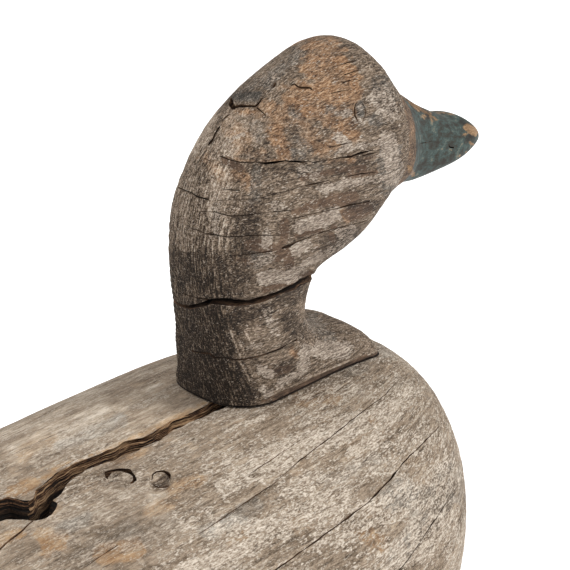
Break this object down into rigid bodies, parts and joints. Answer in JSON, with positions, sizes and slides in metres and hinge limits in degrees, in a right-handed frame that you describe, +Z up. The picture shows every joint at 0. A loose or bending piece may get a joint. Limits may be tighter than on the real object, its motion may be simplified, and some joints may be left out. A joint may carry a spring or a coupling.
{
  "type": "carved wooden duck decoy",
  "caption": "Weathered carved wooden duck decoy with a long rounded body, a flat underside and a separate upright head and neck.",
  "frame": {"origin": "on the flat of the underside, below the middle of the bounding box of the whole decoy", "axes": "+X from tail to bill, +Y to the duck's left, +Z up"},
  "size_m": [0.413, 0.148, 0.2017],
  "materials": {
    "body_wood": "bare weathered grey-tan wood with traces of pale paint",
    "head_wood": "weathered brown-grey wood with worn paint, ochre on the crown and blue-green on the bill"
  },
  "bodies": {
    "root": {"body": "body_wood", "head": "head_wood"}
  },
  "joints": []
}
